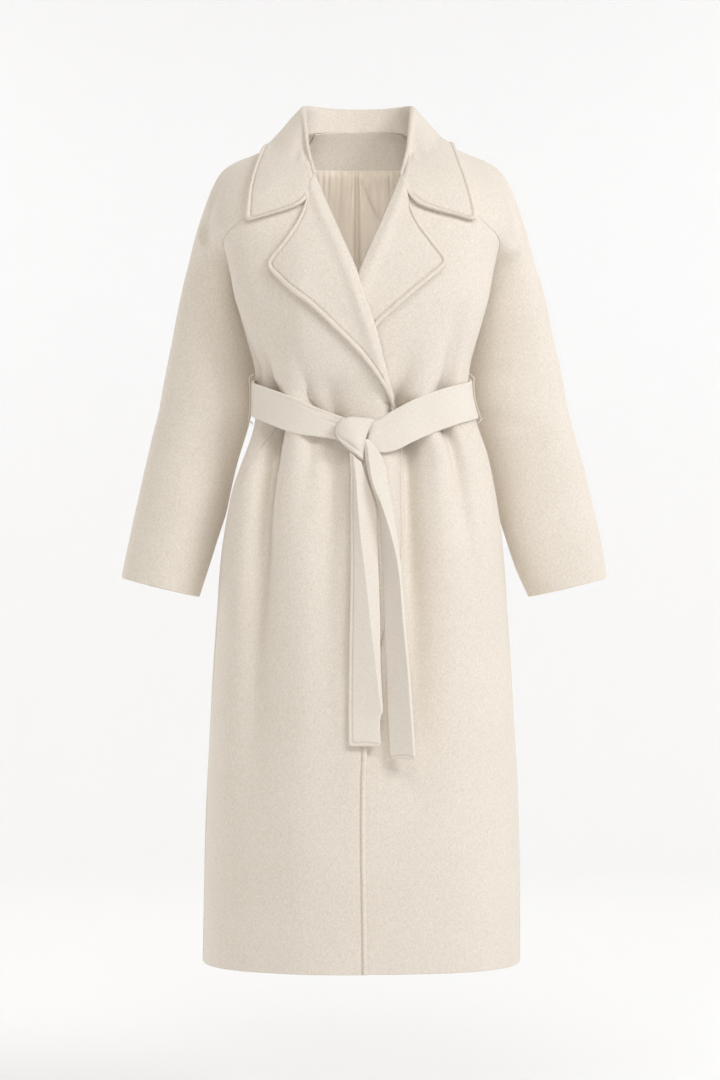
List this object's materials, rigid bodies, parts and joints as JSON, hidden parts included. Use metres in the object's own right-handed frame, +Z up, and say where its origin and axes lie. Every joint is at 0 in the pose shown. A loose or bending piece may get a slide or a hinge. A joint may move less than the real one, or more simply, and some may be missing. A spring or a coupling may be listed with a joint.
{
  "type": "wrap coat",
  "caption": "Belted wrap coat in thick wool with a notched collar, wide lapels, raglan sleeves and a tied belt, filled out and hollow as if worn.",
  "frame": {"origin": "between the shoulders at the neck seam, where the wearer holds the coat up", "axes": "+Z up from the hem to the collar, -Y towards the coat's front, +X towards the wearer's left"},
  "size_m": [0.682, 0.343, 1.2036],
  "materials": {
    "wool": "brushed, matte",
    "belt_wool": "brushed, matte",
    "lining": "smooth, slightly shiny",
    "thread": "matte"
  },
  "bodies": {
    "root": {"back": "wool", "front_right": "wool", "front_left": "wool", "sleeve_right": "wool", "sleeve_left": "wool", "collar": "wool", "lapel_right": "wool", "lapel_left": "wool", "back_neck_facing": "wool", "back_lining": "lining", "belt_band": "belt_wool", "belt_knot": "belt_wool", "belt_tail_a": "belt_wool", "belt_tail_b": "belt_wool", "belt_loop_right": "thread", "belt_loop_left": "thread"}
  },
  "joints": []
}
